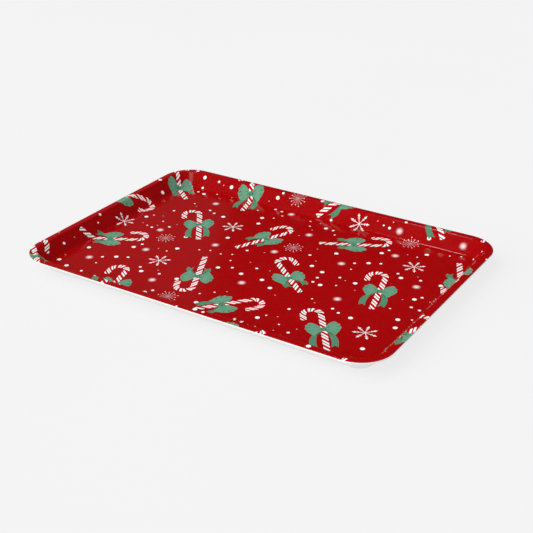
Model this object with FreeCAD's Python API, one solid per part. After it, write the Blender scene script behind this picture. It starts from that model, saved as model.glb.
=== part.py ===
import FreeCAD, Part
import math
import os

# A serving tray moulded in one piece from white melamine resin. A printed decor sheet is pressed
# flush into its whole upper face, and a thin clear glaze is cured over the print. Millimetres.
# X runs along the length, Y across the width and Z up. The origin is the middle of the footprint,
# on the plane that the foot ring stands on.

# Overall size, over the outer edge of the rim
tray_length = 444.0
tray_width = 310.0
tray_height = 20.0
rim_corner_radius = 37.0

# Section of the moulding, measured inwards from the rim's outer edge
wall_thickness = 2.8
lip_width = 8.0
wall_run = 13.0
lip_bend_radius = 2.5
cove_radius = 4.0

# Rim edge: rounded above and below, and the print stops part of the way round the upper rounding
edge_top_radius = 1.2
edge_bottom_radius = 1.0
print_wrap_angle = 60.0
under_lip_radius = 2.0

# Foot ring under the floor's edge
foot_height = 0.8
foot_width = 6.0
foot_outer_radius = 5.0
foot_inner_radius = 0.5

# Layers pressed into the upper face
glaze_thickness = 0.2
decor_thickness = 0.3

# Worked out from the dimensions above
core_x = tray_length / 2.0 - rim_corner_radius
core_y = tray_width / 2.0 - rim_corner_radius
floor_height = foot_height + wall_thickness
wall_inset = lip_width + wall_run
wall_angle = math.atan2(tray_height - floor_height, wall_run)
bend_shift = math.tan(wall_angle / 2.0)
print_depth = glaze_thickness + decor_thickness


def at(inset, height):
    """A point of the section, drawn in the XZ plane with the corner's axis at X = 0."""
    return FreeCAD.Vector(rim_corner_radius - inset, 0, height)


def unit(start, end):
    """The unit vector from start to end."""
    step = end.sub(start)
    step.normalize()
    return step


def rounded_path(corners):
    """Edges that join the (point, radius) corners, each bend rounded by a tangent arc."""
    edges = []
    start = corners[0][0]
    for index in range(1, len(corners) - 1):
        point, radius = corners[index]
        incoming = unit(corners[index - 1][0], point)
        outgoing = unit(point, corners[index + 1][0])
        half_turn = incoming.getAngle(outgoing) / 2.0
        tangent = radius * math.tan(half_turn)
        inwards = unit(incoming, outgoing)
        middle = point.add(inwards.multiply(radius / math.cos(half_turn) - radius))
        arc_start = point.sub(FreeCAD.Vector(incoming).multiply(tangent))
        arc_end = point.add(FreeCAD.Vector(outgoing).multiply(tangent))
        edges.append(Part.makeLine(start, arc_start))
        edges.append(Part.Arc(arc_start, middle, arc_end).toShape())
        start = arc_end
    edges.append(Part.makeLine(start, corners[-1][0]))
    return edges


def edge_point(depth, angle):
    """A point on the rim's upper rounding, angle degrees round from the flat lip."""
    radius = edge_top_radius - depth
    turn = math.radians(angle)
    return at(
        edge_top_radius - radius * math.sin(turn),
        tray_height - edge_top_radius + radius * math.cos(turn),
    )


def edge_arc(depth, first_angle, last_angle):
    """Part of the rim's upper rounding, at a depth under the finished surface."""
    middle_angle = (first_angle + last_angle) / 2.0
    arc = Part.Arc(
        edge_point(depth, first_angle),
        edge_point(depth, middle_angle),
        edge_point(depth, last_angle),
    )
    return arc.toShape()


def upper_path(depth):
    """The finished upper surface, lowered by depth, from the floor out to the print's edge."""
    corners = [
        (at(rim_corner_radius, floor_height - depth), 0),
        (at(wall_inset - depth * bend_shift, floor_height - depth), cove_radius + depth),
        (at(lip_width - depth * bend_shift, tray_height - depth), lip_bend_radius - depth),
        (at(edge_top_radius, tray_height - depth), 0),
    ]
    return rounded_path(corners) + [edge_arc(depth, 0, print_wrap_angle)]


def under_path():
    """The rim's outer edge and the underside, from the lip's lower rounding in to the floor."""
    under_lip = tray_height - wall_thickness
    wall_foot = wall_inset - wall_thickness * bend_shift + foot_height / math.tan(wall_angle)
    foot_inset = wall_foot + foot_width
    corners = [
        (at(0, tray_height - edge_top_radius), 0),
        (at(0, under_lip), edge_bottom_radius),
        (at(lip_width - wall_thickness * bend_shift, under_lip), under_lip_radius),
        (at(wall_foot, 0), foot_outer_radius),
        (at(foot_inset, 0), foot_inner_radius / 2.0),
        (at(foot_inset + foot_height, foot_height), foot_inner_radius),
        (at(rim_corner_radius, foot_height), 0),
    ]
    return rounded_path(corners)


def section_face(edges):
    """A face from loose edges that close one section."""
    return Part.Face(Part.Wire(Part.__sortEdges__(edges)))


def layer_section(top_depth, bottom_depth):
    """The section of a layer that follows the upper surface between two depths."""
    outer_end = Part.makeLine(
        edge_point(top_depth, print_wrap_angle),
        edge_point(bottom_depth, print_wrap_angle),
    )
    inner_end = Part.makeLine(
        at(rim_corner_radius, floor_height - top_depth),
        at(rim_corner_radius, floor_height - bottom_depth),
    )
    return section_face(upper_path(top_depth) + [outer_end] + upper_path(bottom_depth) + [inner_end])


def shell_section():
    """The section of the white moulding, with its upper face recessed for the layers."""
    step = Part.makeLine(
        edge_point(print_depth, print_wrap_angle),
        edge_point(0, print_wrap_angle),
    )
    inner_end = Part.makeLine(
        at(rim_corner_radius, floor_height - print_depth),
        at(rim_corner_radius, foot_height),
    )
    rounding = edge_arc(0, print_wrap_angle, 90)
    return section_face(upper_path(print_depth) + [step, rounding] + under_path() + [inner_end])


def placed(section, angle, centre):
    """The section turned about Z by angle degrees and moved to a corner's axis."""
    face = section.copy()
    face.rotate(FreeCAD.Vector(0, 0, 0), FreeCAD.Vector(0, 0, 1), angle)
    face.translate(centre)
    return face


def carried_round(section, core_bottom, core_top):
    """A tray-shaped solid: the section carried round the rim, closed by a flat core."""
    centres = [
        FreeCAD.Vector(core_x, core_y, 0),
        FreeCAD.Vector(-core_x, core_y, 0),
        FreeCAD.Vector(-core_x, -core_y, 0),
        FreeCAD.Vector(core_x, -core_y, 0),
    ]
    core_corner = FreeCAD.Vector(-core_x, -core_y, core_bottom)
    solid = Part.makeBox(2 * core_x, 2 * core_y, core_top - core_bottom, core_corner)
    pieces = []
    for turn in range(4):
        centre = centres[turn]
        next_centre = centres[(turn + 1) % 4]
        corner = placed(section, 90 * turn, centre)
        side = placed(section, 90 * turn + 90, centre)
        pieces.append(corner.revolve(centre, FreeCAD.Vector(0, 0, 1), 90))
        pieces.append(side.extrude(next_centre.sub(centre)))
    return solid.fuse(pieces).removeSplitter()


def tray_shell():
    """White moulded body: floor, sloping walls, flat lip and foot ring in one."""
    return carried_round(shell_section(), foot_height, floor_height - print_depth)


def decor_sheet():
    """Printed sheet that lines the whole upper face, out to the rim's edge."""
    section = layer_section(glaze_thickness, print_depth)
    return carried_round(section, floor_height - print_depth, floor_height - glaze_thickness)


def clear_glaze():
    """Clear resin layer over the print; its top is the finished surface."""
    section = layer_section(0, glaze_thickness)
    return carried_round(section, floor_height - glaze_thickness, floor_height)


def main():
    """Writes one STEP per piece and prints each piece's size."""
    os.makedirs("parts", exist_ok=True)
    for builder in (tray_shell, decor_sheet, clear_glaze):
        shape = builder()
        name = builder.__name__
        box = shape.BoundBox
        print(name, shape.isValid(), len(shape.Solids), len(shape.Faces), round(shape.Volume, 1))
        print("  size", round(box.XLength, 3), round(box.YLength, 3), round(box.ZLength, 3))
        shape.exportStep("parts/" + name + ".step")


main()
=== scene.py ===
import math
import random

import bpy
from mathutils import Matrix, Vector
from mathutils.geometry import delaunay_2d_cdt


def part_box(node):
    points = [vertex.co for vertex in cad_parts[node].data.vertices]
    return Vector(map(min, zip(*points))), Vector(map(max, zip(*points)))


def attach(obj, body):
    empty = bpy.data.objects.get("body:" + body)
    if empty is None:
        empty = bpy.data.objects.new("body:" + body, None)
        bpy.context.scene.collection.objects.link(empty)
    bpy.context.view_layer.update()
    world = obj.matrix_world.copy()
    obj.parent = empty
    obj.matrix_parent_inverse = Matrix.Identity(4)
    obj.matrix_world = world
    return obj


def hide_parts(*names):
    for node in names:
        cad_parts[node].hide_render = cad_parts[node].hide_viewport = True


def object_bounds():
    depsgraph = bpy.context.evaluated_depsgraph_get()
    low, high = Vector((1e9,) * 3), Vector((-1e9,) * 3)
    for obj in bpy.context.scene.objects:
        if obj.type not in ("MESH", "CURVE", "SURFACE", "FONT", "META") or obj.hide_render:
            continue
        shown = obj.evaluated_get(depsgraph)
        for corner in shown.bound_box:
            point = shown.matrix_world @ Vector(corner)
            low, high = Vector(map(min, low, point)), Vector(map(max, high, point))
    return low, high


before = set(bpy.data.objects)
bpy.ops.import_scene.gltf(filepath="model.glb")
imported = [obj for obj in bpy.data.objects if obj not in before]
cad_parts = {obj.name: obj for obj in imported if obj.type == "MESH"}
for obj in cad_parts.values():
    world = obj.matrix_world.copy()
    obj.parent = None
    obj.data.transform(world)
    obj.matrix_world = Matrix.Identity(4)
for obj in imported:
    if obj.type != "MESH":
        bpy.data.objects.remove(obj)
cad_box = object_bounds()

# A moulded melamine serving tray. The white shell and the print are rebuilt here as fine meshes.
# The print is drawn flat, in millimetres, as if the decor sheet were still unrolled on a table, and
# is then laid over the tray's upper face. Each ink is a thin closed piece of its own.

MM = 0.001

# ---------------------------------------------------------------- sizes from the frame

low, high = cad_box
HALF_LENGTH = high.x / MM
HALF_WIDTH = high.y / MM
HEIGHT = high.z / MM
DECOR_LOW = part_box("decor_sheet")[0].z / MM

# ---------------------------------------------------------------- section of the moulding, in mm

RIM_RADIUS = 37.0
FOOT_HEIGHT = 0.8
WALL_THICKNESS = 2.8
LIP_WIDTH = 8.0
WALL_RUN = 13.0
LIP_BEND_RADIUS = 2.5
COVE_RADIUS = 4.0
EDGE_TOP_RADIUS = 1.2
EDGE_BOTTOM_RADIUS = 1.0
PRINT_WRAP = math.radians(60)
UNDER_LIP_RADIUS = 2.0
FOOT_WIDTH = 6.0
FOOT_OUTER_RADIUS = 5.0
FOOT_INNER_RADIUS = 0.5

FLOOR_HEIGHT = FOOT_HEIGHT + WALL_THICKNESS
PRINT_DEPTH = FLOOR_HEIGHT - DECOR_LOW
CORE_X = HALF_LENGTH - RIM_RADIUS
CORE_Y = HALF_WIDTH - RIM_RADIUS
WALL_INSET = LIP_WIDTH + WALL_RUN
WALL_ANGLE = math.atan2(HEIGHT - FLOOR_HEIGHT, WALL_RUN)
BEND_SHIFT = math.tan(WALL_ANGLE / 2)

CORNER_STEPS = 24
CAP_RADIUS = 4.0
ARC_STEP = math.radians(9)


class Span:
    """One straight or round stretch of a path, walked from start along heading. Left turns are +."""

    def __init__(self, start, heading, length, turn=0.0):
        self.start = start
        self.heading = heading
        self.length = length
        self.turn = turn

    def at(self, distance):
        """The point and the heading that far along."""
        ahead = Vector((math.cos(self.heading), math.sin(self.heading)))
        if not self.turn:
            return self.start + ahead * distance, self.heading
        radius = self.length / self.turn
        heading = self.heading + distance / radius
        side = Vector((math.sin(heading), -math.cos(heading)))
        return self.start + (side - Vector((ahead.y, -ahead.x))) * radius, heading

    def end(self):
        """The point where the span ends."""
        return self.at(self.length)[0]

    def stations(self):
        """(point, heading) at the ends, and at even steps between them on a round stretch."""
        count = max(1, math.ceil(abs(self.turn) / ARC_STEP))
        return [self.at(self.length * step / count) for step in range(count + 1)]


def rounded_spans(corners):
    """Spans through the (inset, height, radius) corners of a section, each bend rounded."""
    points = [Vector((RIM_RADIUS - inset, height)) for inset, height, radius in corners]
    steps = [after - before for before, after in zip(points, points[1:])]
    headings = [math.atan2(step.y, step.x) for step in steps]
    spans = []
    start = points[0]
    for index, heading in enumerate(headings[:-1]):
        turn = math.remainder(headings[index + 1] - heading, math.tau)
        radius = corners[index + 1][2]
        reach = radius * math.tan(abs(turn) / 2)
        spans.append(Span(start, heading, (points[index + 1] - start).length - reach))
        spans.append(Span(spans[-1].end(), heading, radius * abs(turn), turn))
        start = spans[-1].end()
    spans.append(Span(start, headings[-1], (points[-1] - start).length))
    return spans


def upper_spans(depth, start_radius=0.0):
    """The upper surface at a depth under the finished one, from a corner's axis to the print's edge."""
    spans = rounded_spans([
        (RIM_RADIUS - start_radius, FLOOR_HEIGHT - depth, 0),
        (WALL_INSET - depth * BEND_SHIFT, FLOOR_HEIGHT - depth, COVE_RADIUS + depth),
        (LIP_WIDTH - depth * BEND_SHIFT, HEIGHT - depth, LIP_BEND_RADIUS - depth),
        (EDGE_TOP_RADIUS, HEIGHT - depth, 0),
    ])
    edge = EDGE_TOP_RADIUS - depth
    return spans + [Span(spans[-1].end(), 0.0, edge * PRINT_WRAP, -PRINT_WRAP)]


def shell_spans():
    """The white shell's section, from the underside's middle round the rim and back on top."""
    under_lip = HEIGHT - WALL_THICKNESS
    wall_foot = WALL_INSET - WALL_THICKNESS * BEND_SHIFT + FOOT_HEIGHT / math.tan(WALL_ANGLE)
    foot_inset = wall_foot + FOOT_WIDTH
    under = rounded_spans([
        (RIM_RADIUS - CAP_RADIUS, FOOT_HEIGHT, 0),
        (foot_inset + FOOT_HEIGHT, FOOT_HEIGHT, FOOT_INNER_RADIUS),
        (foot_inset, 0, FOOT_INNER_RADIUS / 2),
        (wall_foot, 0, FOOT_OUTER_RADIUS),
        (LIP_WIDTH - WALL_THICKNESS * BEND_SHIFT, under_lip, UNDER_LIP_RADIUS),
        (0, under_lip, EDGE_BOTTOM_RADIUS),
        (0, HEIGHT - EDGE_TOP_RADIUS, 0),
    ])
    white_turn = math.pi / 2 - PRINT_WRAP
    rounding = Span(under[-1].end(), math.pi / 2, EDGE_TOP_RADIUS * white_turn, white_turn)
    recess = [reversed_span(span) for span in reversed(upper_spans(PRINT_DEPTH, CAP_RADIUS))]
    step = recess[0].start - rounding.end()
    return under + [rounding, Span(rounding.end(), math.atan2(step.y, step.x), step.length)] + recess


def reversed_span(span):
    """The same stretch, walked the other way."""
    end, heading = span.at(span.length)
    return Span(end, heading + math.pi, span.length, -span.turn)


UPPER = upper_spans(0)
FLAT_REACH = UPPER[0].length
SHEET_REACH = sum(span.length for span in UPPER)


# ---------------------------------------------------------------- the sheet, flat and on the tray

def upper_at(along):
    """Radius, height and heading of the finished surface, that far along from a corner's axis."""
    for span in UPPER[:-1]:
        if along <= span.length:
            return span.at(along)
        along -= span.length
    return UPPER[-1].at(min(along, UPPER[-1].length))


def on_tray(u, v):
    """Where a point of the flat sheet lies on the tray, and the surface's normal there."""
    base = Vector((max(-CORE_X, min(CORE_X, u)), max(-CORE_Y, min(CORE_Y, v))))
    offset = Vector((u, v)) - base
    along = offset.length
    if along <= FLAT_REACH:
        return Vector((u, v, FLOOR_HEIGHT)), Vector((0, 0, 1))
    section, heading = upper_at(along)
    out = offset / along
    place = base + out * section.x
    lean = out * -math.sin(heading)
    return Vector((place.x, place.y, section.y)), Vector((lean.x, lean.y, math.cos(heading)))


def rim_directions():
    """(corner axis, outward direction) pairs, once round the tray, counter-clockwise."""
    pairs = []
    for quarter, (sign_x, sign_y) in enumerate([(1, 1), (-1, 1), (-1, -1), (1, -1)]):
        axis = Vector((sign_x * CORE_X, sign_y * CORE_Y))
        for step in range(CORNER_STEPS + 1):
            angle = (quarter + step / CORNER_STEPS) * math.pi / 2
            pairs.append((axis, Vector((math.cos(angle), math.sin(angle)))))
    return pairs


def sheet_loop(reach):
    """The points of the flat sheet at that distance from the corners' axes, once round."""
    return [axis + out * reach for axis, out in rim_directions()]


class Drawing:
    """Outlines on the flat sheet, in millimetres. Each closed outline has a label."""

    def __init__(self):
        self.points = []
        self.edges = []
        self.outlines = []
        self.labels = []

    def scatter(self, points):
        """Adds loose points, which give a soft shade somewhere to change."""
        first = len(self.points)
        self.points += [Vector(point[:2]) for point in points]
        return list(range(first, len(self.points)))

    def line(self, points):
        """Adds an open line that the triangles follow."""
        chain = self.scatter(points)
        self.edges += list(zip(chain, chain[1:]))

    def outline(self, points, label):
        """Adds a closed outline, turned counter-clockwise."""
        pairs = zip(points, points[1:] + points[:1])
        if sum(a[0] * b[1] - b[0] * a[1] for a, b in pairs) < 0:
            points = points[::-1]
        self.outlines.append(self.scatter(points))
        self.labels.append(label)

    def cut(self):
        """Points and triangles of the whole drawing, and the set of labels on each triangle."""
        points, _, faces, _, _, sources = delaunay_2d_cdt(
            self.points, self.edges, self.outlines, 0, 1e-5)
        labels = [{self.labels[source] for source in found} for found in sources]
        return points, faces, labels


def draw_sheet(drawing):
    """The sheet's own outline, and the lines along which it bends."""
    reach = FLAT_REACH
    loops = [FLAT_REACH]
    for span in UPPER[1:]:
        count = len(span.stations()) - 1
        loops += [reach + span.length * (step + 1) / count for step in range(count)]
        reach += span.length
    drawing.outline(sheet_loop(SHEET_REACH), "sheet")
    for reach in loops[:-1]:
        loop = sheet_loop(reach)
        drawing.line(loop + loop[:1])
    for axis, out in rim_directions():
        drawing.line([axis + out * FLAT_REACH, axis + out * SHEET_REACH])


# ---------------------------------------------------------------- the pattern, in mm on the sheet

CANE_HALF = 3.15
CANE_END_RADIUS = 1.8
CANE_BELOW_KNOT = 39.0
CANE_ABOVE_KNOT = 32.0
HOOK_RADIUS = 9.3
HOOK_LEG = 11.5
BAND_LEAN = 1.15
HOOK_LEAN = 0.3
# One set of stripes along the stem: the width of each and its label. The rest of the cane is red
STRIPES = [(3.3, "white band"), (1.8, "thin band"), (3.3, "white band"), (4.6, None)]
HOOK_STRIPE_SHARE = 0.7
BAND_OVERHANG = 0.6
HOOK_STEPS = 20
CANE_END_STEPS = 4
BAND_STEPS = 3


class Place:
    """A spot on the sheet: where a motif's middle is, how it is turned, and if it is mirrored."""

    def __init__(self, x, y, tilt=0.0, mirrored=False):
        self.x = x
        self.y = y
        self.tilt = math.radians(tilt)
        self.mirror = -1 if mirrored else 1

    def put(self, points):
        """A motif's own points, as points of the sheet."""
        cos, sin = math.cos(self.tilt), math.sin(self.tilt)
        flipped = [(point[0] * self.mirror, point[1]) for point in points]
        return [(self.x + x * cos - y * sin, self.y + x * sin + y * cos) for x, y in flipped]

    def moved(self, step):
        """The same motif in another repeat of the pattern."""
        copy = Place(self.x + step[0], self.y + step[1])
        copy.tilt, copy.mirror = self.tilt, self.mirror
        return copy


def smooth_loop(knots, steps=4):
    """A closed smooth curve through a few points."""
    count = len(knots)
    points = []
    for index in range(count):
        p0, p1, p2, p3 = [Vector(knots[(index + shift) % count]) for shift in (-1, 0, 1, 2)]
        points += [catmull(p0, p1, p2, p3, step / steps) for step in range(steps)]
    return points


def catmull(p0, p1, p2, p3, t):
    """A point between p1 and p2 on the smooth curve through all four."""
    return 0.5 * (2 * p1 + (p2 - p0) * t + (2 * p0 - 5 * p1 + 4 * p2 - p3) * t ** 2
                  + (3 * p1 - p0 - 3 * p2 + p3) * t ** 3)


def circle(x, y, radius, sides=14):
    """A round outline."""
    angles = [math.tau * side / sides for side in range(sides)]
    return [(x + radius * math.cos(angle), y + radius * math.sin(angle)) for angle in angles]


def cane_spans():
    """The cane's middle line: up the stem, round the hook to the left and down its short leg."""
    stem = Span(Vector((0, -CANE_BELOW_KNOT)), math.pi / 2, CANE_BELOW_KNOT + CANE_ABOVE_KNOT)
    hook = Span(stem.end(), math.pi / 2, math.pi * HOOK_RADIUS, math.pi)
    return [stem, hook, Span(hook.end(), -math.pi / 2, HOOK_LEG)]


CANE = cane_spans()
CANE_LENGTH = sum(span.length for span in CANE)


def cane_point(along, across):
    """A point of the cane, by distance along its middle line and across it to the left."""
    distance = along
    for span in CANE:
        if distance <= span.length or span is CANE[-1]:
            break
        distance -= span.length
    middle, heading = span.at(distance)
    return middle + Vector((-math.sin(heading), math.cos(heading))) * across


def cane_side():
    """(distance along, half width) down one side of the cane, with its rounded ends."""
    rounding = []
    for step in range(CANE_END_STEPS + 1):
        angle = math.pi / 2 * step / CANE_END_STEPS
        half = CANE_HALF - CANE_END_RADIUS * (1 - math.cos(angle))
        rounding.append((CANE_END_RADIUS * (1 - math.sin(angle)), half))
    stem, hook = CANE[0].length, CANE[1].length
    bend = [(stem + hook * step / HOOK_STEPS, CANE_HALF) for step in range(HOOK_STEPS + 1)]
    tail = [(CANE_LENGTH - along, half) for along, half in rounding]
    return rounding[::-1] + bend + tail


def draw_cane(drawing, place, key, green):
    """A cane: its outline, and the leaning bands across it. Only some canes have the thin green one."""
    side = cane_side()
    left = [cane_point(along, half) for along, half in side]
    right = [cane_point(along, -half) for along, half in reversed(side)]
    drawing.outline(place.put(left + right), ("cane", key))
    start = -CANE_HALF * BAND_LEAN
    while start < CANE_LENGTH + CANE_HALF * BAND_LEAN:
        for width, label in STRIPES:
            end = start + width * (HOOK_STRIPE_SHARE if start > CANE[0].length else 1.0)
            if label == "white band" or (label == "thin band" and green):
                draw_band(drawing, place, start, end, (label, key))
            start = end


def band_lean(along):
    """How far a band leans along the cane for each step across it. It leans least on the hook."""
    share = (along - CANE[0].length) / CANE[1].length
    return BAND_LEAN - (BAND_LEAN - HOOK_LEAN) * math.sin(math.pi * max(0.0, min(1.0, share)))


def draw_band(drawing, place, start, end, label):
    """A band across the cane, from start to end along its middle line."""
    reach = CANE_HALF + BAND_OVERHANG
    across = [reach * step / BAND_STEPS for step in range(-BAND_STEPS, BAND_STEPS + 1)]
    near = [cane_point(start + band_lean(start) * w, w) for w in across]
    far = [cane_point(end + band_lean(end) * w, w) for w in reversed(across)]
    drawing.outline(place.put(near + far), label)


LEFT_LOOP = [(-1.4, 3.4), (-3.2, 5.6), (-6.6, 10.2), (-9.8, 13.0), (-13.2, 14.0), (-15.0, 12.6),
             (-16.0, 10.4), (-18.0, 8.4), (-17.5, 5.4), (-18.7, 2.8), (-17.3, -0.6), (-16.6, -3.4),
             (-14.0, -6.8), (-12.0, -10.0), (-9.4, -11.4), (-6.2, -9.2), (-3.6, -5.4), (-1.6, -1.8)]
RIGHT_LOOP = [(1.4, 3.4), (3.0, 6.2), (5.4, 11.0), (8.8, 14.6), (12.2, 15.8), (14.2, 14.0), (15.0, 11.8),
              (17.4, 9.8), (16.8, 6.8), (18.2, 4.2), (17.0, 0.8), (15.8, -2.4), (13.6, -5.6),
              (11.8, -9.2), (9.0, -10.6), (6.0, -8.0), (3.4, -4.4), (1.6, -1.4)]
KNOT = [(-1.9, 3.8), (0, 4.6), (2.0, 3.7), (2.3, 1.0), (1.9, -1.8), (0, -2.8), (-1.9, -2.0), (-2.4, 0.8)]
# Start, end, bulge and half thickness of each fold's dark line
CREASES = [
    ((-18.4, 3.0), (-12.6, 4.8), 0.3, 0.60),
    ((-16.6, 9.8), (-12.0, 8.4), 0.3, 0.40),
    ((-17.0, -2.6), (-12.8, 0.6), -0.3, 0.40),
    ((17.9, 4.4), (12.4, 5.4), -0.3, 0.60),
    ((15.8, 11.2), (11.6, 9.6), -0.3, 0.40),
    ((16.0, -1.8), (12.0, 0.8), 0.3, 0.40),
    ((-2.2, 2.4), (-7.4, 5.6), 0.5, 0.38),
    ((-2.2, 0.2), (-7.6, -0.8), -0.4, 0.34),
    ((2.2, 2.4), (7.2, 6.2), -0.5, 0.38),
    ((2.2, 0.2), (7.6, 0.0), 0.4, 0.34),
    ((-1.7, 3.4), (-1.8, -2.0), -0.5, 0.6),
    ((1.8, 3.4), (1.8, -1.8), 0.5, 0.6),
]
# The shaded underside that shows along the lower edge of each loop, given in the same way
UNDERSIDES = [
    ((-0.6, -1.2), (-9.8, -11.6), 0.5, 1.4),
    ((0.6, -1.0), (9.4, -10.8), -0.5, 1.4),
]
TAIL_HALF = 3.5
TAIL_WAIST = 0.5
TAIL_NOTCH = 3.4
TAIL_BOW = 2.2
TAIL_STEPS = 8
# How fast a tail swells from its waist: it is at full width after 1 / TAIL_SWELL of its length
TAIL_SWELL = 1.8
LEFT_TAIL_TOP = (-9.0, -8.0)
RIGHT_TAIL_TOP = (5.4, -5.0)
# Where each tail's tip is at no reach, and how far it moves sideways for each step of reach
LEFT_TIP, LEFT_DRIFT = (-9.0, -6.5), -0.1
RIGHT_TIP, RIGHT_DRIFT = (6.8, -5.5), 0.05


def lens(start, end, bulge, thickness, steps=6):
    """A thin curved sliver from start to end, which bows out to its left by bulge."""
    start, end = Vector(start), Vector(end)
    step = end - start
    side = Vector((-step.y, step.x)).normalized()
    upper, lower = [], []
    for index in range(steps + 1):
        share = index / steps
        swell = math.sin(math.pi * share)
        middle = start + step * share + side * (bulge * swell)
        upper.append(middle + side * (thickness * swell))
        lower.append(middle - side * (thickness * swell))
    return upper + lower[-2:0:-1]


def tail_outline(top, tip, bulge):
    """A ribbon tail from top to tip. It swells from a narrow waist, and its end is notched."""
    top, tip = Vector(top), Vector(tip)
    step = tip - top
    side = Vector((-step.y, step.x)).normalized()
    left, right = [], []
    for index in range(TAIL_STEPS + 1):
        share = index / TAIL_STEPS
        swell = TAIL_WAIST + (1 - TAIL_WAIST) * math.sin(math.pi / 2 * min(1.0, share * TAIL_SWELL))
        middle = top + step * share + side * (bulge * math.sin(math.pi * share))
        left.append(middle + side * (TAIL_HALF * swell))
        right.append(middle - side * (TAIL_HALF * swell))
    return left + [tip - step.normalized() * TAIL_NOTCH] + right[::-1]


def draw_bow(drawing, place, reach):
    """A ribbon bow with two loops, a knot, two tails and its folds."""
    left_tip = (LEFT_TIP[0] + LEFT_DRIFT * reach, LEFT_TIP[1] - reach)
    right_tip = (RIGHT_TIP[0] + RIGHT_DRIFT * reach, RIGHT_TIP[1] - reach)
    drawing.outline(place.put(tail_outline(LEFT_TAIL_TOP, left_tip, -TAIL_BOW)), "tail")
    drawing.outline(place.put(tail_outline(RIGHT_TAIL_TOP, right_tip, TAIL_BOW)), "tail")
    drawing.outline(place.put(smooth_loop(LEFT_LOOP, 3)), "loop")
    drawing.outline(place.put(smooth_loop(RIGHT_LOOP, 3)), "loop")
    drawing.outline(place.put(smooth_loop(KNOT)), "knot")
    for start, end, bulge, thickness in CREASES:
        drawing.outline(place.put(lens(start, end, bulge, thickness)), "crease")
    for start, end, bulge, thickness in UNDERSIDES:
        drawing.outline(place.put(lens(start, end, bulge, thickness)), "underside")


SLIVER_STEPS = 4
STAR_ARMS = 7
STAR_RADIUS = 13.0
# How far out each pair of barbs starts, and how long it is
STAR_BARBS = [(5.8, 2.4), (8.6, 2.6)]
STAR_BARB_LEAN = 0.7
STAR_BARB_HALF = 0.32
# Half an arm's outline: (half width, distance in from the arm's tip), from the neck to the tip
STAR_ARM_ROOT = 0.32
STAR_ARM = [(0.4, 5), (1.15, 2.6), (0.2, 0)]


def draw_star(drawing, place):
    """A snowflake: arms that swell just before the tip, each with small leaning barbs."""
    side = [(STAR_ARM_ROOT, 0)] + [(half, STAR_RADIUS - inward) for half, inward in STAR_ARM]
    stem = [(-half, reach) for half, reach in side] + side[::-1]
    for arm in range(STAR_ARMS):
        turned = Place(0, 0, 360 * arm / STAR_ARMS)
        drawing.outline(place.put(turned.put(stem)), "pale")
        for reach, length in STAR_BARBS:
            for way in (-STAR_BARB_LEAN, STAR_BARB_LEAN):
                barb = lens((0, reach), (way * length, reach + length), 0, STAR_BARB_HALF, SLIVER_STEPS)
                drawing.outline(place.put(turned.put(barb)), "pale")


SPARK_RAYS = 14
SPARK_RADII = (10.8, 8.6)
SPARK_MIDDLE = 3.0
SPARK_BEAD = 0.65
SPARK_BEAD_SIDES = 8
SPARK_RAY_HALF = 0.28

# Soft spots that lighten the ground: how strong, how far they reach, and how they fade outwards
DOT_GLOW = 1.0
SPARK_GLOW = 0.32
DOT_GLOW_RADIUS = 5.4
SPARK_GLOW_RADIUS = 5.6
GLOW_FADE = 2.2
GLOW_RINGS = 5
GLOW_SIDES = 16


def draw_spark(drawing, place):
    """A burst of thin pink rays, each with a bead at its end, round a soft pink middle."""
    for ray in range(SPARK_RAYS):
        turned = Place(0, 0, 360 * ray / SPARK_RAYS)
        reach = SPARK_RADII[ray % 2]
        line = lens((0, SPARK_MIDDLE), (0, reach), 0, SPARK_RAY_HALF, SLIVER_STEPS)
        drawing.outline(place.put(turned.put(line)), "pink")
        bead = circle(0, reach, SPARK_BEAD, SPARK_BEAD_SIDES)
        drawing.outline(place.put(turned.put(bead)), "pale")
    draw_glow_points(drawing, place.x, place.y, SPARK_GLOW_RADIUS)


def draw_glow_points(drawing, x, y, radius):
    """Rings of loose points, so that the ground can shade softly round a spot."""
    for ring in range(1, GLOW_RINGS + 1):
        drawing.scatter(circle(x, y, radius * ring / GLOW_RINGS, GLOW_SIDES))
    drawing.scatter([(x, y)])


# The pattern repeats by these two steps, so that every second column drops by half a repeat
REPEAT_STEPS = [(248.7, -135.5), (248.7, 135.5)]

# x, y, tilt, mirrored, reach of the ribbon's tails, how far the cane is pushed up through its bow,
# and whether its white stripes hold a thin green one
CANES = [
    (-116.0, 43.0, 34.5, False, 28.0, -1.0, True),
    (66.0, 92.5, -64.0, False, 13.0, 0.0, True),
    (-27.0, 52.0, -25.0, False, 14.0, -2.0, False),
    (143.5, 7.0, 15.0, False, 27.0, 0.0, False),
    (47.5, -17.5, 51.0, True, 14.0, 6.0, True),
    (-40.5, -65.0, -155.0, True, 14.0, -7.5, False),
    (17.5, -104.5, -39.0, True, 20.0, 0.0, False),
]
STARS = [(-78.5, 59.5, 10), (150.0, 78.0, 0), (-199.0, 4.0, 20)]
SPARKS = [(12.0, 49.5, 4), (-128.0, -7.0, 11), (-40.0, -119.0, 0)]
SOFT_DOTS = [
    (-38, 127), (-135, 105), (10, 88), (120, 92), (78, 43),
    (-1, 29), (-147, 7), (-68, 8), (9, -53), (172, 37),
]
LARGE_DOTS = [
    (18, 114), (149, 113), (104, 90), (61, 62), (103, 60), (149, 47), (193, 53), (53, 21), (70, 14),
    (113, 10), (182, 11), (83, -13), (-33, -37), (-3, -36), (24, -36), (41, -47), (186, -36),
    (144, -58), (191, -52), (64, -107), (-7, -114), (182, -104), (139, -128),
]
LARGE_DOT_RADIUS = 2.5
SMALL_DOTS = 62
SMALL_DOT_RADII = (1.7, 1.1, 0.8)
SMALL_DOT_SIDES = 10
SMALL_DOT_GAP = 4.0
SMALL_DOT_SEED = 7
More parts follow.
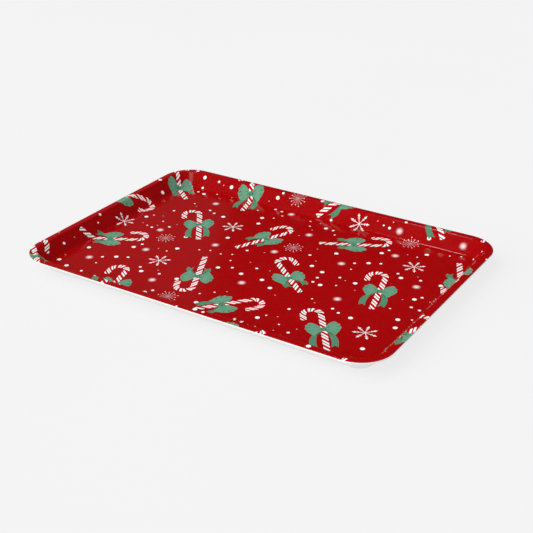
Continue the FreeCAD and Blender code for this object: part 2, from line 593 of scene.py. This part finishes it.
# How far a small dot stays from the middle of each kind of motif, on top of the gap
CLEAR_OF_SOFT_DOT = 7.0
CLEAR_OF_LARGE_DOT = 5.0
CLEAR_OF_STAR = 16.0
CLEAR_OF_STEM = 10.0
CLEAR_OF_BOW = 21.0
STEM_STEPS = 8


def repeats(x, y, margin):
    """The steps that bring a motif at x, y onto the sheet, or within margin of it."""
    (ax, ay), (bx, by) = REPEAT_STEPS
    found = []
    for first in range(-3, 4):
        for second in range(-3, 4):
            step = (first * ax + second * bx, first * ay + second * by)
            inside_x = abs(x + step[0]) < CORE_X + SHEET_REACH + margin
            inside_y = abs(y + step[1]) < CORE_Y + SHEET_REACH + margin
            if inside_x and inside_y:
                found.append(step)
    return found


def separation(a, b):
    """The shortest distance between two spots of the pattern, over all repeats."""
    (ax, ay), (bx, by) = REPEAT_STEPS
    gaps = []
    for first in range(-2, 3):
        for second in range(-2, 3):
            dx = a[0] - b[0] + first * ax + second * bx
            dy = a[1] - b[1] + first * ay + second * by
            gaps.append(math.hypot(dx, dy))
    return min(gaps)


def small_dots():
    """Small dots strewn between the motifs, the same in every repeat."""
    taken = [(x, y, CLEAR_OF_SOFT_DOT) for x, y in SOFT_DOTS]
    taken += [(x, y, CLEAR_OF_LARGE_DOT) for x, y in LARGE_DOTS]
    taken += [(x, y, CLEAR_OF_STAR) for x, y, _ in STARS + SPARKS]
    for x, y, tilt, mirrored, _, push, _ in CANES:
        place = Place(x, y, tilt, mirrored)
        stops = [CANE_LENGTH * step / STEM_STEPS for step in range(STEM_STEPS + 1)]
        line = [cane_point(stop, 0) + Vector((0, push)) for stop in stops]
        taken += [(px, py, CLEAR_OF_STEM) for px, py in place.put(line)]
        taken.append((x, y, CLEAR_OF_BOW))
    width = REPEAT_STEPS[0][0]
    drop = REPEAT_STEPS[1][1]
    strewn = random.Random(SMALL_DOT_SEED)
    dots = []
    while len(dots) < SMALL_DOTS:
        spot = (strewn.uniform(0, width), strewn.uniform(-drop, drop))
        radius = strewn.choice(SMALL_DOT_RADII)
        if all(separation(spot, other) > other[2] + SMALL_DOT_GAP for other in taken):
            dots.append((spot[0], spot[1], radius))
            taken.append((spot[0], spot[1], SMALL_DOT_GAP))
    return dots


def soft_spots():
    """(x, y, radius, strength) of every soft spot that shades the ground, on the whole sheet."""
    spots = []
    for x, y in SOFT_DOTS:
        for step in repeats(x, y, DOT_GLOW_RADIUS):
            spots.append((x + step[0], y + step[1], DOT_GLOW_RADIUS, DOT_GLOW))
    for x, y, _ in SPARKS:
        for step in repeats(x, y, SPARK_GLOW_RADIUS):
            spots.append((x + step[0], y + step[1], SPARK_GLOW_RADIUS, SPARK_GLOW))
    return spots


def draw_pattern(drawing):
    """Every motif of the print, in every repeat that reaches the sheet."""
    key = 0
    for x, y, tilt, mirrored, reach, push, green in CANES:
        for step in repeats(x, y, CANE_LENGTH / 2):
            bow = Place(x, y, tilt, mirrored).moved(step)
            pushed = bow.put([(0, push)])[0]
            draw_cane(drawing, Place(*pushed, tilt, mirrored), key, green)
            draw_bow(drawing, bow, reach)
            key += 1
    for motifs, draw in ((STARS, draw_star), (SPARKS, draw_spark)):
        for x, y, tilt in motifs:
            for step in repeats(x, y, STAR_RADIUS):
                draw(drawing, Place(x, y, tilt).moved(step))
    for x, y in LARGE_DOTS:
        for step in repeats(x, y, LARGE_DOT_RADIUS):
            drawing.outline(circle(x + step[0], y + step[1], LARGE_DOT_RADIUS), "white dot")
    for x, y, radius in small_dots():
        label = "pink" if radius == min(SMALL_DOT_RADII) else "white dot"
        for step in repeats(x, y, radius):
            drawing.outline(circle(x + step[0], y + step[1], radius, SMALL_DOT_SIDES), label)
    for x, y, radius, strength in soft_spots():
        if strength == DOT_GLOW:
            draw_glow_points(drawing, x, y, radius)


def ink_of(labels):
    """The ink that shows on a triangle, from everything drawn over it."""
    if "loop" in labels or "knot" in labels:
        if "crease" in labels or "underside" in labels:
            return "deep_green"
        if "knot" in labels:
            return "shade_green"
        return "sage"
    if "tail" in labels:
        return "shade_green"
    canes = {label[1] for label in labels if label[0] == "cane"}
    for band, ink in (("thin band", "deep_green"), ("white band", "white")):
        if canes & {label[1] for label in labels if label[0] == band}:
            return ink
    if canes:
        return "stripe_red"
    if "white dot" in labels:
        return "white"
    if "pale" in labels:
        return "pale"
    if "pink" in labels:
        return "pink"
    return "red"


def glow_at(point, spots):
    """How strongly the soft spots lighten the ground at a point of the sheet."""
    best = 0.0
    for x, y, radius, strength in spots:
        distance = math.hypot(point[0] - x, point[1] - y) / radius
        if distance < 1:
            best = max(best, strength * (1 - distance * distance) ** GLOW_FADE)
    return best


# ---------------------------------------------------------------- meshes

def new_piece(name, points, faces, normals, material):
    """A smooth closed mesh with its own corner normals, which rides on the tray."""
    mesh = bpy.data.meshes.new(name)
    mesh.from_pydata([tuple(point * MM) for point in points], [], faces)
    mesh.polygons.foreach_set("use_smooth", [True] * len(mesh.polygons))
    mesh.normals_split_custom_set([tuple(normal) for normal in normals])
    mesh.materials.append(material)
    piece = bpy.data.objects.new(name, mesh)
    bpy.context.scene.collection.objects.link(piece)
    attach(piece, "root")
    return piece


def fans(triangles):
    """Gives each fan of triangles round a point its own copy of it. Returns (triangles, sources)."""
    around = {}
    for index, triangle in enumerate(triangles):
        for corner in range(3):
            around.setdefault(triangle[corner], []).append((index, corner))
    split = [list(triangle) for triangle in triangles]
    sources = []
    for point, uses in around.items():
        groups = []
        for index, corner in uses:
            triangle = triangles[index]
            others = {triangle[(corner + 1) % 3], triangle[(corner + 2) % 3]}
            joined = [group for group in groups if group[0] & others]
            merged = (set(others), [(index, corner)])
            for group in joined:
                merged[0].update(group[0])
                merged[1].extend(group[1])
                groups.remove(group)
            groups.append(merged)
        for _, members in groups:
            for index, corner in members:
                split[index][corner] = len(sources)
            sources.append(point)
    return split, sources


def ink_piece(ink, triangles, sheet_points, material):
    """A thin closed piece of one ink, from the finished surface down to the bottom of the print."""
    split, sources = fans(triangles)
    laid = [on_tray(*sheet_points[source]) for source in sources]
    count = len(laid)
    points = [point for point, _ in laid]
    points += [point - normal * PRINT_DEPTH for point, normal in laid]
    directed = {(t[i], t[(i + 1) % 3]) for t in split for i in range(3)}
    rim = sorted(edge for edge in directed if edge[::-1] not in directed)
    faces = [tuple(t) for t in split]
    faces += [(c + count, b + count, a + count) for a, b, c in split]
    faces += [(b, a, a + count, b + count) for a, b in rim]
    normals = [laid[corner][1] for t in split for corner in t]
    normals += [-laid[corner][1] for t in split for corner in reversed(t)]
    for a, b in rim:
        side = (points[b] - points[a]).cross(laid[a][1]).normalized()
        normals += [side] * 4
    piece = new_piece("print_" + ink, points, faces, normals, material)
    return piece, sources


def print_pieces(materials):
    """Cuts the drawn sheet into inks and lays each on the tray."""
    drawing = Drawing()
    draw_sheet(drawing)
    draw_pattern(drawing)
    points, triangles, labels = drawing.cut()
    inks = {}
    for triangle, found in zip(triangles, labels):
        if "sheet" in found:
            inks.setdefault(ink_of(found), []).append(tuple(triangle))
    pieces = {}
    for ink in sorted(inks):
        piece, sources = ink_piece(ink, inks[ink], points, materials[ink])
        pieces[ink] = piece
        if ink == "red":
            spots = soft_spots()
            glow = [glow_at(points[source], spots) for source in sources]
            layer = piece.data.attributes.new("soft_glow", "FLOAT", "POINT")
            layer.data.foreach_set("value", glow + glow)
    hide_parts("decor_sheet", "clear_glaze")
    return pieces


def shell_piece(material):
    """The white moulding: its section carried once round the tray, closed above and below."""
    columns = rim_directions()
    ring, points, faces, normals = [], [], [], []
    spans = [span.stations() for span in shell_spans()]
    for stations in spans:
        ring += [station[0] for station in stations[:-1]]
    ring.append(spans[-1][-1][0])
    rows = len(ring)
    for axis, out in columns:
        points += [Vector((*(axis + out * spot.x), spot.y)) for spot in ring]
    for column, (axis, out) in enumerate(columns):
        after = (column + 1) % len(columns)
        next_out = columns[after][1]
        row = 0
        for stations in spans:
            for (_, low_heading), (_, high_heading) in zip(stations, stations[1:]):
                corners = ((column, row), (after, row), (after, row + 1), (column, row + 1))
                faces.append([c * rows + r for c, r in corners])
                for way, heading in ((out, low_heading), (next_out, low_heading),
                                     (next_out, high_heading), (out, high_heading)):
                    lean = way * math.sin(heading)
                    normals.append(Vector((lean.x, lean.y, -math.cos(heading))))
                row += 1
    for row, up in ((0, -1), (rows - 1, 1)):
        cap = [column * rows + row for column in range(len(columns))][::up]
        faces.append(cap)
        normals += [Vector((0, 0, up))] * len(cap)
    piece = new_piece("shell_moulding", points, faces, normals, material)
    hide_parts("tray_shell")
    return piece


# ---------------------------------------------------------------- materials

NOISE_RANGE = (0.3, 0.7)


def new_material(name):
    """A node material with a Principled shader. Returns (material, nodes, links, shader)."""
    material = bpy.data.materials.new(name)
    material.use_nodes = True
    nodes = material.node_tree.nodes
    return material, nodes, material.node_tree.links, nodes["Principled BSDF"]


def noise(nodes, links, size, coordinates):
    """A noise texture, from its features per metre and its detail. Returns its factor."""
    texture = nodes.new("ShaderNodeTexNoise")
    texture.inputs["Scale"].default_value, texture.inputs["Detail"].default_value = size
    links.new(coordinates, texture.inputs["Vector"])
    return texture.outputs["Fac"]


def remap(nodes, links, value, low, high):
    """The range that most of a noise lies in, stretched to run from low to high."""
    node = nodes.new("ShaderNodeMapRange")
    node.inputs["From Min"].default_value, node.inputs["From Max"].default_value = NOISE_RANGE
    node.inputs["To Min"].default_value = low
    node.inputs["To Max"].default_value = high
    links.new(value, node.inputs["Value"])
    return node.outputs["Result"]


def blend(nodes, links, factor, first, second):
    """A colour between two, by factor. A colour is three numbers or another node's output."""
    node = nodes.new("ShaderNodeMix")
    node.data_type = "RGBA"
    links.new(factor, node.inputs["Factor"])
    for socket, colour in ((node.inputs[6], first), (node.inputs[7], second)):
        if isinstance(colour, tuple):
            socket.default_value = (*colour, 1.0)
        else:
            links.new(colour, socket)
    return node.outputs[2]


def bump(nodes, links, shader, height, distance):
    """Raises the surface by a height texture, distance in metres."""
    node = nodes.new("ShaderNodeBump")
    node.inputs["Distance"].default_value = distance
    node.inputs["Strength"].default_value = 1.0
    links.new(height, node.inputs["Height"])
    links.new(node.outputs["Normal"], shader.inputs["Normal"])


# Each texture: its features per metre, and its detail
INK_GRAIN = (900.0, 3.0)
INK_PATCHES = (160.0, 4.0)
GLAZE_RIPPLE = (55.0, 2.0)
MELAMINE_MOTTLE = (120.0, 5.0)
MELAMINE_WEAR = (45.0, 6.0)
FLOOR_UNEVENNESS = (1.5, 2.0)

GRAIN_SHARE = 0.5
PATCH_SHARE = 0.5
RIPPLE_DEPTH = 0.004 * MM
GLAZE_ROUGHNESS = (0.09, 0.14)
GLAZE_SPECULAR = 0.4

INKS = {
    "red": ((0.315, 0.0008, 0.0016), (0.355, 0.0018, 0.0026)),
    "stripe_red": ((0.50, 0.0015, 0.005), (0.56, 0.003, 0.008)),
    "white": ((0.90, 0.885, 0.88), (0.95, 0.94, 0.935)),
    "pale": ((0.84, 0.72, 0.73), (0.92, 0.84, 0.84)),
    "pink": ((0.62, 0.30, 0.33), (0.74, 0.44, 0.46)),
    "sage": ((0.100, 0.268, 0.172), (0.162, 0.358, 0.242)),
    "shade_green": ((0.064, 0.205, 0.120), (0.104, 0.275, 0.170)),
    "deep_green": ((0.026, 0.115, 0.052), (0.044, 0.155, 0.076)),
}
SOFT_GLOW_COLOUR = (0.92, 0.74, 0.76)

MELAMINE_TONES = ((0.77, 0.77, 0.76), (0.82, 0.82, 0.81))
MELAMINE_ROUGHNESS = (0.22, 0.36)
WEAR_DEPTH = 0.03 * MM


def ink_material(ink):
    """Printed ink under a clear glaze: fine grain, slightly uneven colour, and a hard gloss."""
    material, nodes, links, shader = new_material("ink_" + ink)
    coordinates = nodes.new("ShaderNodeTexCoord").outputs["Object"]
    dark, light = INKS[ink]
    grain = noise(nodes, links, INK_GRAIN, coordinates)
    patches = noise(nodes, links, INK_PATCHES, coordinates)
    mixed = nodes.new("ShaderNodeMath")
    mixed.operation = "MULTIPLY_ADD"
    links.new(grain, mixed.inputs[0])
    mixed.inputs[1].default_value = GRAIN_SHARE
    share = nodes.new("ShaderNodeMath")
    share.operation = "MULTIPLY"
    links.new(patches, share.inputs[0])
    share.inputs[1].default_value = PATCH_SHARE
    links.new(share.outputs[0], mixed.inputs[2])
    colour = blend(nodes, links, remap(nodes, links, mixed.outputs[0], 0, 1), dark, light)
    if ink == "red":
        glow = nodes.new("ShaderNodeAttribute")
        glow.attribute_name = "soft_glow"
        colour = blend(nodes, links, glow.outputs["Fac"], colour, SOFT_GLOW_COLOUR)
    links.new(colour, shader.inputs["Base Color"])
    ripple = noise(nodes, links, GLAZE_RIPPLE, coordinates)
    links.new(remap(nodes, links, ripple, *GLAZE_ROUGHNESS), shader.inputs["Roughness"])
    shader.inputs["Specular IOR Level"].default_value = GLAZE_SPECULAR
    bump(nodes, links, shader, ripple, RIPPLE_DEPTH)
    return material


def white_melamine():
    """Moulded white melamine: off-white with the faintest mottle, semi-gloss."""
    material, nodes, links, shader = new_material("white_melamine")
    coordinates = nodes.new("ShaderNodeTexCoord").outputs["Object"]
    mottle = noise(nodes, links, MELAMINE_MOTTLE, coordinates)
    colour = blend(nodes, links, remap(nodes, links, mottle, 0, 1), *MELAMINE_TONES)
    links.new(colour, shader.inputs["Base Color"])
    wear = noise(nodes, links, MELAMINE_WEAR, coordinates)
    links.new(remap(nodes, links, wear, *MELAMINE_ROUGHNESS), shader.inputs["Roughness"])
    bump(nodes, links, shader, wear, WEAR_DEPTH)
    return material


def studio_floor():
    """A plain pale table that glows a little from below, with a faint unevenness of tone."""
    material, nodes, links, shader = new_material("studio_floor")
    coordinates = nodes.new("ShaderNodeTexCoord").outputs["Object"]
    tone = noise(nodes, links, FLOOR_UNEVENNESS, coordinates)
    colour = blend(nodes, links, remap(nodes, links, tone, 0, 1), *FLOOR_TONES)
    links.new(colour, shader.inputs["Base Color"])
    shader.inputs["Roughness"].default_value = FLOOR_ROUGHNESS
    shader.inputs["Specular IOR Level"].default_value = 0.0
    shader.inputs["Emission Color"].default_value = (1, 1, 1, 1)
    shader.inputs["Emission Strength"].default_value = FLOOR_GLOW
    return material


# ---------------------------------------------------------------- studio

FLOOR_RADIUS = 8.0
FLOOR_SIDES = 96
CAMERA_AZIMUTH = math.radians(32.62)
CAMERA_ELEVATION = math.radians(27.11)
CAMERA_ROLL = math.radians(-0.35)
CAMERA_DISTANCE = 1.1685
CAMERA_RIGHT = 0.0059
CAMERA_UP = -0.0199
CAMERA_LENS = 71.3

# The key light is one wide soft source. It is hidden from the gloss, which mirrors only the lamps
KEY_FROM = (-0.38, -0.56, 0.53)
KEY_ANGLE = math.radians(60)
KEY_STRENGTH = 2.18

# name, place, size and power in watts of each lamp that the gloss mirrors
LAMPS = [
    ("front_softbox", (0.50, -1.90, 2.50), (0.9, 1.2), 7.0),
    ("overhead_box", (-0.80, 0.15, 2.60), (0.24, 0.60), 6.5),
    ("back_left_card", (-1.45, 1.45, 0.90), (0.6, 0.5), 0.06),
]
FLOOR_TONES = ((0.150, 0.150, 0.150), (0.160, 0.160, 0.160))
FLOOR_GLOW = 0.718
FLOOR_ROUGHNESS = 0.9
WORLD_SEEN = (0.913, 0.913, 0.913)
WORLD_FILL = (0.63, 0.63, 0.63)
WORLD_MIRRORED = (0.01, 0.01, 0.01)


def lay_floor():
    """The pale floor under the tray."""
    rim = circle(0, 0, FLOOR_RADIUS, FLOOR_SIDES)
    mesh = bpy.data.meshes.new("studio_floor")
    mesh.from_pydata([(x, y, low.z) for x, y in rim], [], [range(FLOOR_SIDES)])
    mesh.materials.append(studio_floor())
    floor = bpy.data.objects.new("studio_floor", mesh)
    bpy.context.scene.collection.objects.link(floor)


def hang_lights():
    """The key light and the lamps, all aimed at the tray."""
    key = bpy.data.lights.new("key_light", "SUN")
    key.angle = KEY_ANGLE
    key.energy = KEY_STRENGTH
    aim(key, KEY_FROM).visible_glossy = False
    for name, place, size, power in LAMPS:
        lamp = bpy.data.lights.new(name, "AREA")
        lamp.shape = "RECTANGLE"
        lamp.size, lamp.size_y = size
        lamp.energy = power
        aim(lamp, place)


def aim(light, place):
    """Puts a light in its place, facing the tray, with its width along the tray's length."""
    back = Vector(place).normalized()
    right = (Vector((1, 0, 0)) - back * back.x).normalized()
    holder = bpy.data.objects.new(light.name, light)
    holder.location = place
    holder.rotation_mode = "QUATERNION"
    holder.rotation_quaternion = Matrix((right, back.cross(right), back)).transposed().to_quaternion()
    bpy.context.scene.collection.objects.link(holder)
    return holder


def set_world():
    """A pale backdrop to look at. It fills the shadows, and is darker where gloss mirrors it."""
    world = bpy.data.worlds.new("studio")
    world.use_nodes = True
    nodes, links = world.node_tree.nodes, world.node_tree.links
    path = nodes.new("ShaderNodeLightPath")
    shown = nodes["Background"]
    shown.inputs["Color"].default_value = (*WORLD_FILL, 1)
    for ray, colour in (("Is Glossy Ray", WORLD_MIRRORED), ("Is Camera Ray", WORLD_SEEN)):
        other = nodes.new("ShaderNodeBackground")
        other.inputs["Color"].default_value = (*colour, 1)
        choice = nodes.new("ShaderNodeMixShader")
        links.new(path.outputs[ray], choice.inputs[0])
        links.new(shown.outputs[0], choice.inputs[1])
        links.new(other.outputs[0], choice.inputs[2])
        shown = choice
    links.new(shown.outputs[0], nodes["World Output"].inputs["Surface"])
    bpy.context.scene.world = world
    bpy.context.scene.view_settings.view_transform = "Standard"


def set_camera():
    """The camera, placed round the middle of the rim's top."""
    back = Vector((
        math.sin(CAMERA_AZIMUTH) * math.cos(CAMERA_ELEVATION),
        -math.cos(CAMERA_AZIMUTH) * math.cos(CAMERA_ELEVATION),
        math.sin(CAMERA_ELEVATION)))
    level = Vector((math.cos(CAMERA_AZIMUTH), math.sin(CAMERA_AZIMUTH), 0))
    upright = back.cross(level)
    right = level * math.cos(CAMERA_ROLL) + upright * math.sin(CAMERA_ROLL)
    up = back.cross(right)
    data = bpy.data.cameras.new("camera")
    data.lens = CAMERA_LENS
    data.clip_start, data.clip_end = 0.01, 50.0
    camera = bpy.data.objects.new("camera", data)
    camera.location = (Vector((0, 0, high.z)) + back * CAMERA_DISTANCE
                       + right * CAMERA_RIGHT + up * CAMERA_UP)
    camera.rotation_mode = "QUATERNION"
    camera.rotation_quaternion = Matrix((right, up, back)).transposed().to_quaternion()
    bpy.context.scene.collection.objects.link(camera)
    bpy.context.scene.camera = camera


set_camera()
print_pieces({ink: ink_material(ink) for ink in INKS})
shell_piece(white_melamine())
lay_floor()
hang_lights()
set_world()
